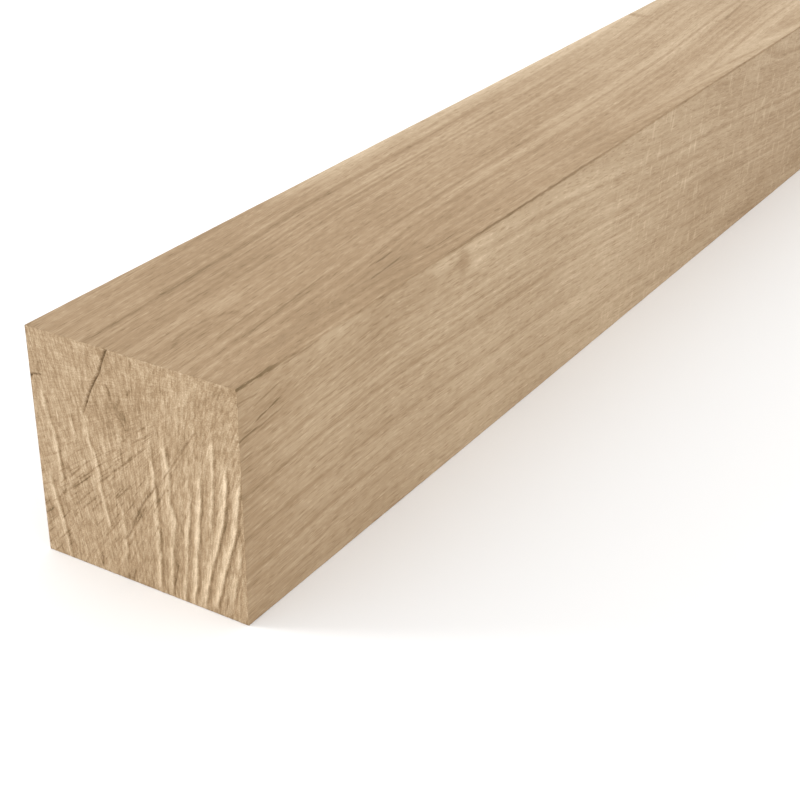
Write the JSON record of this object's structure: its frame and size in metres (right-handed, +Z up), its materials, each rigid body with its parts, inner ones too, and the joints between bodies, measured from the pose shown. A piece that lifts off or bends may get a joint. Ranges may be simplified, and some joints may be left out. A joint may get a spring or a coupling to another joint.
{
  "type": "oak beam",
  "caption": "Squared solid oak beam with planed faces, crisp long arrises and a rough-sawn end with drying checks, for a mantel, porch post, lintel or roof timber.",
  "frame": {"origin": "middle of the beam's underside", "axes": "+Z up out of the top face, +Y along the beam away from its rough-sawn end, +X to the right as seen from that end"},
  "size_m": [0.15, 1.2, 0.15],
  "materials": {
    "oak": "planed oak with no coating, pale and matt; rough-sawn at the ends"
  },
  "bodies": {
    "root": {"oak_beam": "oak"}
  },
  "joints": []
}
